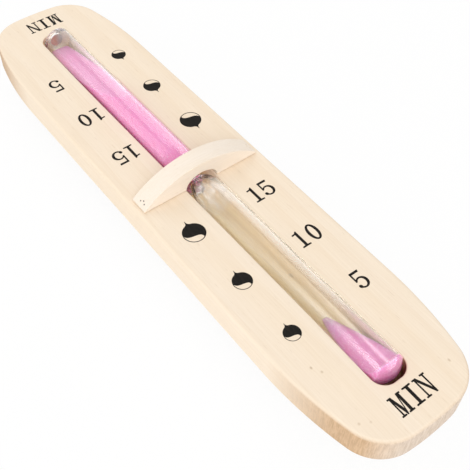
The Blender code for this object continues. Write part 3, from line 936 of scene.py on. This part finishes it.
def plate_outline(inset):
    """The plate's outline, with half-round ends, drawn in by a distance."""
    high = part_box("wall_plate")[1]
    half_width = high.x
    centre = high.y - half_width
    top = arc((0.0, centre), half_width - inset, 0.0, math.pi, 2 * ARC_STEPS)
    return top + arc((0.0, -centre), half_width - inset, math.pi, 2.0 * math.pi, 2 * ARC_STEPS)


def make_plate():
    low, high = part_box("wall_plate")
    pocket_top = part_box("plate_washer")[1].z + SEAT_GAP
    cage = bmesh.new()
    outer = rounded_sides(cage, plate_outline, PLATE_EDGE_ROUND, low.z, high.z)
    back_holes, front_holes = [], []
    for side in (-1.0, 1.0):
        centre = (0.0, side * WALL_HOLE_SPACING / 2.0)
        hole = [ring(cage, WALL_HOLE_RADIUS, low.z, centre),
                ring(cage, WALL_HOLE_RADIUS, high.z - COUNTERSINK_DEPTH, centre),
                ring(cage, COUNTERSINK_RADIUS, high.z, centre)]
        skin(cage, hole)
        back_holes.append(hole[0])
        front_holes.append(hole[-1])
    pocket = [ring(cage, COUNTERBORE_RADIUS, low.z), ring(cage, COUNTERBORE_RADIUS, pocket_top),
              ring(cage, BOLT_HOLE_RADIUS, pocket_top), ring(cage, BOLT_HOLE_RADIUS, high.z)]
    skin(cage, pocket)
    fill(cage, outer[0], pocket[0], *back_holes)
    fill(cage, outer[-1], pocket[-1], *front_holes)
    plate = finish_mesh("plate", cage, plate_wood)
    even_normals(plate)
    stands_for(plate, "wall_mount", "plate_wood", "wall_plate")


def make_washer(name, node, slot, material):
    low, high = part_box(node)
    radius, hole = high.x, BOLT_HOLE_RADIUS
    profile = [(hole + CHAMFER, high.z), (radius - CHAMFER, high.z), (radius, high.z - CHAMFER),
               (radius, low.z + CHAMFER), (radius - CHAMFER, low.z), (hole + CHAMFER, low.z),
               (hole, low.z + CHAMFER), (hole, high.z - CHAMFER)]
    washer = turned(name, profile, 2 * SMALL_TURN_STEPS, material, (0.0, 0.0, 0.0), closed=True)
    stands_for(washer, "wall_mount", slot, node)


def hexagon(cage, flats, z):
    """A six-sided loop with as many points as a ring, so that the two can be skinned."""
    points = []
    for step in range(SMALL_TURN_STEPS):
        angle = 2.0 * math.pi * step / SMALL_TURN_STEPS
        folded = (angle % math.radians(60.0)) - math.radians(30.0)
        radius = flats / 2.0 / math.cos(folded)
        points.append((radius * math.cos(angle), radius * math.sin(angle), z))
    return loop_of(cage, points)


def make_bolt():
    low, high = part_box("pivot_bolt")
    head_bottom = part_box("head_washer")[1].z + SEAT_GAP
    head_radius = high.x
    profile = [(THREAD_CORE_RADIUS - CHAMFER, low.z), (SHANK_RADIUS, low.z + 2.0 * CHAMFER)]
    z = low.z + THREAD_START
    while z < THREAD_TOP:
        profile += [(SHANK_RADIUS, z), (THREAD_CORE_RADIUS, z + 0.4 * THREAD_PITCH),
                    (SHANK_RADIUS, z + 0.8 * THREAD_PITCH)]
        z += THREAD_PITCH
    profile += [(SHANK_RADIUS, head_bottom), (head_radius - CHAMFER, head_bottom),
                (head_radius, head_bottom + CHAMFER), (head_radius, high.z - 3.0 * CHAMFER),
                (head_radius - 3.0 * CHAMFER, high.z)]
    cage = bmesh.new()
    loops = [ring(cage, radius, height) for radius, height in profile]
    socket = [hexagon(cage, SOCKET_FLATS, z) for z in (high.z, high.z - SOCKET_DEPTH)]
    skin(cage, loops + socket)
    fill(cage, loops[0])
    fill(cage, socket[-1])
    bolt = finish_mesh("bolt", cage, zinc_steel)
    stands_for(bolt, "wall_mount", "zinc_steel", "pivot_bolt")


def make_nut():
    low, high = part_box("lock_nut")
    flats = min(high.x - low.x, high.y - low.y)
    rim = flats / 2.0 - CHAMFER
    cage = bmesh.new()
    loops = [ring(cage, NUT_BORE_RADIUS + CHAMFER, low.z), ring(cage, rim, low.z),
             hexagon(cage, flats, low.z + NUT_FLATS_START), hexagon(cage, flats, high.z - NUT_FLATS_DROP),
             ring(cage, rim, high.z - NUT_RIM_DROP)]
    for inset, drop in zip(NUT_COLLAR_INSETS, (NUT_COLLAR_DROP, CHAMFER, 0.0)):
        loops.append(ring(cage, rim - inset, high.z - drop))
    loops += [ring(cage, NUT_BORE_RADIUS + CHAMFER, high.z), ring(cage, NUT_BORE_RADIUS, high.z - CHAMFER),
              ring(cage, NUT_BORE_RADIUS, low.z + CHAMFER)]
    skin(cage, loops + [loops[0]])
    nut = finish_mesh("nut", cage, zinc_steel)
    stands_for(nut, "wall_mount", "zinc_steel", "lock_nut")


# Print, as outlines in tenths of the glyph's height

def glyph_one():
    outline = [(-2.35, 0.0), (2.35, 0.0), (2.35, 0.5), (0.6, 0.75), (0.6, 10.0), (0.25, 10.0), (-0.6, 9.15),
               (-2.3, 8.95), (-2.3, 8.4), (-0.6, 8.6), (-0.6, 0.75), (-2.35, 0.5)]
    return [outline]


def glyph_zero():
    def oval(half_width, half_height):
        points = circle((0.0, 0.0), 1.0, 2 * SMALL_TURN_STEPS)
        return [(half_width * x, 5.0 + half_height * y) for x, y in points]
    return [oval(2.85, 5.05), oval(1.6, 4.3)]


def glyph_five():
    """A bar and a thin stem, and a bowl that thickens on its right and ends in a ball."""
    centre, half_width, half_height = (2.4, 3.2), 2.55, 2.85
    first, last, stem_join = math.radians(150.0), math.radians(-168.0), math.radians(131.0)
    ball = 0.70

    def thickness(share, angle):
        swell = 0.30 + 0.30 * max(0.0, math.cos(angle)) ** 1.5
        from_end = (1.0 - share) * 12.0
        if from_end < 2.0 * ball:
            round_end = math.sqrt(max(0.0, ball ** 2 - (from_end - ball) ** 2))
            return max(swell * min(1.0, from_end / 0.3), round_end)
        return swell

    def edge(start, sign):
        points = []
        for step in range(BOWL_STEPS + 1):
            angle = start + (last - start) * step / BOWL_STEPS
            share = (first - angle) / (first - last)
            reach = sign * thickness(share, angle)
            points.append((centre[0] + (half_width + reach) * math.cos(angle),
                           centre[1] + (half_height + reach) * math.sin(angle)))
        return points

    stem = [(-0.05, 9.95), (4.85, 9.95), (4.65, 8.95), (0.55, 8.95)]
    return [stem + edge(stem_join, 1.0) + edge(first, -1.0)[-2::-1] + [(-0.05, 4.5)]]


def glyph_m():
    outline = [(0.0, 10.0), (1.95, 10.0), (3.65, 2.6), (5.05, 10.0), (7.15, 10.0), (7.15, 9.5), (6.4, 9.4),
               (6.4, 0.6), (7.15, 0.5), (7.15, 0.0), (4.3, 0.0), (4.3, 0.5), (5.1, 0.6), (5.1, 8.0),
               (3.4, -0.05), (3.0, -0.05), (1.4, 7.0), (1.4, 0.6), (2.35, 0.5), (2.35, 0.0), (0.0, 0.0),
               (0.0, 0.5), (0.85, 0.6), (0.85, 9.4), (0.0, 9.5)]
    return [outline]


def glyph_i():
    half = [(-2.3, 0.0), (2.3, 0.0), (2.3, 0.5), (0.68, 0.65), (0.68, 9.35), (2.3, 9.5), (2.3, 10.0)]
    return [half + [(-x, y) for x, y in reversed(half[1:])][:-1]]


def glyph_n():
    outline = [(0.05, 10.0), (2.15, 10.0), (5.65, 2.35), (5.65, 9.4), (4.7, 9.5), (4.7, 10.0), (7.15, 10.0),
               (7.15, 9.5), (6.2, 9.4), (6.2, -0.1), (5.6, -0.1), (1.5, 8.5), (1.5, 0.6), (2.45, 0.5),
               (2.45, 0.0), (0.0, 0.0), (0.0, 0.5), (0.95, 0.6), (0.95, 9.4), (0.05, 9.5)]
    return [outline]


def glyph_drop():
    """A round drop with a short tip and a pale, wave-topped pool, on a body of radius 1."""
    tip = (0.03, 1.45)
    join = 0.42
    right = bezier(tip, (0.02, 1.1), (0.12, 1.0), (math.sin(join), math.cos(join)), ARC_STEPS // 2)
    left = [(-x, y) for x, y in right[1:]]
    body = arc((0.0, 0.0), 1.0, math.radians(90.0) - join, math.radians(-270.0) + join, 4 * ARC_STEPS)
    outline = right[:-1] + body[:-1] + left[::-1]
    pool_radius = 0.93
    rim = arc((0.0, 0.0), pool_radius, math.radians(172.0), math.radians(300.0), 2 * ARC_STEPS)
    wave = bezier(rim[-1], (0.52, -0.12), (-0.77, -0.52), rim[0], 2 * ARC_STEPS)
    return [outline, rim + wave[1:-1]]


def bolder(loop, weight):
    """The loop let out by a distance, or drawn in by a negative one."""
    area = sum(x * after_y - after_x * y for (x, y), (after_x, after_y) in zip(loop, loop[1:] + loop[:1]))
    side = 1.0 if area > 0.0 else -1.0
    moved = []
    for index, point in enumerate(loop):
        here = Vector(point)
        before = (here - Vector(loop[index - 1])).normalized()
        after = (Vector(loop[(index + 1) % len(loop)]) - here).normalized()
        outward = Vector((before.y + after.y, -before.x - after.x)).normalized() * side
        square = Vector((after.y, -after.x)) * side
        moved.append(here + outward * weight / max(0.5, outward.dot(square)))
    return [tuple(point) for point in moved]


def bold(loops, weight):
    """An outline with its holes, drawn with a heavier pen."""
    outer, *holes = loops
    return [bolder(outer, weight)] + [bolder(hole, -weight) for hole in holes]


def stamp(name, marks, turned_round):
    """One printed mark: thin ink on the board's face, made of glyphs placed at (x, y, scale)."""
    cage = bmesh.new()
    low = board_front + INK_LIFT
    for loops, x, y, scale in marks:
        levels = []
        for z in (low, low + INK_THICKNESS):
            levels.append([loop_of(cage, [(x + scale * px, y + scale * py, z) for px, py in loop])
                           for loop in loops])
        for lower, upper in zip(*levels):
            skin(cage, [lower, upper])
        for level in levels:
            fill(cage, *level)
    if turned_round:
        bmesh.ops.rotate(cage, verts=cage.verts, matrix=Matrix.Rotation(math.pi, 3, "Z"))
    mark = finish_mesh(name, cage, print_ink)
    stands_for(mark, "timer_board", "print_ink")


def make_print():
    digit = DIGIT_HEIGHT / 10.0
    letter = LETTER_HEIGHT / 10.0
    one, zero, five = [bold(glyph, PEN_WEIGHT) for glyph in (glyph_one(), glyph_zero(), glyph_five())]
    marks = {
        "mark_15": [(one, 0.01642, -0.03610, digit), (five, 0.02130, -0.03610, digit)],
        "mark_10": [(one, 0.01602, -0.07165, digit), (zero, 0.02370, -0.07180, digit)],
        "mark_5": [(five, 0.01970, -0.10600, digit)],
        "mark_minutes": [(bold(glyph_m(), PEN_WEIGHT), -0.01130, -0.16160, letter),
                         (bold(glyph_i(), PEN_WEIGHT), -0.00050, -0.16155, letter),
                         (bold(glyph_n(), PEN_WEIGHT), 0.00310, -0.16155, letter)],
    }
    for name, (x, y, radius) in DROP_PLACES.items():
        marks["drop_" + name] = [(glyph_drop(), x, y, radius)]
    for half, turned_round in (("near", False), ("far", True)):
        for name, glyphs in marks.items():
            stamp(name + "_" + half, glyphs, turned_round)


# Studio

def make_floor():
    """A floor that looks almost pure white, with a trace of its real shading."""
    material, tree, shader = new_material("white_floor")
    tone = grain(tree, (3.0, 3.0, 3.0), 2.0)
    paint = tint(tree, spread(tree, tone, 0.3, 0.7), colour(0.95, 0.95, 0.95), colour(0.97, 0.97, 0.97))
    set_inputs(tree, shader, {"Base Color": paint, "Roughness": 0.9, "Specular IOR Level": 0.0})
    white = add(tree, "Emission", {"Color": WHITE, "Strength": 1.0})
    show_mix(tree, times(tree, seen_rays(tree), FLOOR_WHITE_SHARE), shader, white)
    cage = bmesh.new()
    bmesh.ops.create_grid(cage, x_segments=8, y_segments=8, size=FLOOR_HALF_SIZE)
    bmesh.ops.translate(cage, verts=cage.verts, vec=(0.0, 0.0, cad_low.z - FLOOR_GAP))
    floor = finish_mesh("floor", cage, material)


def make_world():
    """Soft light from all round, and white where the surroundings are seen."""
    world = bpy.data.worlds.new("studio")
    bpy.context.scene.world = world
    world.use_nodes = True
    tree = world.node_tree
    soft = tree.nodes["Background"]
    set_inputs(tree, soft, {"Color": colour(1.0, 0.99, 0.975), "Strength": WORLD_STRENGTH})
    white = add(tree, "Background", {"Color": WHITE, "Strength": 1.0})
    show_mix(tree, seen_rays(tree), soft, white, "World Output")


def add_lamp(name, place, target, width, length, power):
    data = bpy.data.lights.new(name, "AREA")
    data.shape = "RECTANGLE"
    data.size = width
    data.size_y = length
    data.energy = power
    lamp = bpy.data.objects.new(name, data)
    bpy.context.scene.collection.objects.link(lamp)
    lamp.location = place
    lamp.rotation_euler = (Vector(target) - Vector(place)).to_track_quat("-Z", "Y").to_euler()
    lamp.visible_camera = False
    lamp.visible_transmission = False
    return lamp


glass_only = bpy.data.collections.new("glass_only")


def shine(lamp):
    """Let a lamp show as a shine in the glass and light nothing else."""
    lamp.visible_diffuse = False
    lamp.light_linking.receiver_collection = glass_only


def add_reflector(name, tilt, spread_angle, first_y, last_y, radiance):
    """A long softbox over the glass that shows only as a reflection, tilted about Y from straight up."""
    half = math.radians(spread_angle) / 2.0
    width = 2.0 * REFLECTOR_DISTANCE * math.tan(half)
    length = last_y - first_y
    direction = Vector((math.sin(math.radians(tilt)), 0.0, math.cos(math.radians(tilt))))
    middle = Vector((0.0, (first_y + last_y) / 2.0, glass_axis)) + direction * REFLECTOR_DISTANCE
    target = Vector((0.0, middle.y, glass_axis))
    power = POWER_PER_RADIANCE * radiance * width * length
    shine(add_lamp(name, middle, target, length, width, power))


def make_camera():
    data = bpy.data.cameras.new("camera")
    data.sensor_width = CAMERA_SENSOR
    data.lens = CAMERA_LENS
    data.clip_start = CAMERA_NEAREST
    camera = bpy.data.objects.new("camera", data)
    bpy.context.scene.collection.objects.link(camera)
    turn = Matrix((CAMERA_RIGHT, CAMERA_UP, CAMERA_RIGHT.cross(CAMERA_UP))).transposed()
    place = (*CAMERA_PLACE, board_front + CAMERA_HEIGHT_OVER_FACE)
    camera.matrix_world = Matrix.Translation(place) @ turn.to_4x4()
    bpy.context.scene.camera = camera


make_camera()
make_floor()
make_world()
# Lamps: place, target, width, length and power in watts
add_lamp("key", (-0.75, -1.50, 1.15), (0.0, 0.0, 0.0), 1.4, 1.4, 13.8)
add_lamp("left_fill", (-2.20, 0.0, 0.70), (0.0, 0.0, 0.0), 1.6, 0.8, 5.5).visible_glossy = False
add_lamp("far_fill", (0.15, 0.95, 0.80), (0.0, 0.15, 0.0), 0.8, 0.8, 2.5).visible_glossy = False
shine(add_lamp("near_end", (0.42, -0.85, 0.45), glass_low, 1.2, 1.2, 26.0))
# Reflectors: tilt and width in degrees, first and last Y, and radiance
add_reflector("near_left", -55.5, 34.0, -0.10, 0.055, 7.5)
add_reflector("near_right", 4.0, 16.0, -0.10, 0.055, 7.0)
add_reflector("middle_right", 38.0, 30.0, 0.11, 0.41, 3.2)
add_reflector("middle_right_low", 71.0, 42.0, 0.11, 0.41, 1.7)
add_reflector("far_left", -49.0, 42.0, 0.42, 0.76, 1.7)
add_reflector("far_left_low", -86.0, 30.0, 0.42, 0.76, 2.0)
add_reflector("far_right", 20.0, 50.0, 0.42, 0.76, 2.1)
add_reflector("far_right_low", 69.0, 48.0, 0.42, 0.74, 1.4)
make_board()
make_bridge()
make_pins()
make_glass()
make_plug()
make_sand()
make_plate()
make_washer("washer_head", "head_washer", "zinc_steel", zinc_steel)
make_washer("washer_spacer", "spacer_washer", "spacer_plastic", dark_plastic)
make_washer("washer_plate", "plate_washer", "zinc_steel", zinc_steel)
make_bolt()
make_nut()
make_print()
bpy.context.scene.view_settings.view_transform = "Standard"
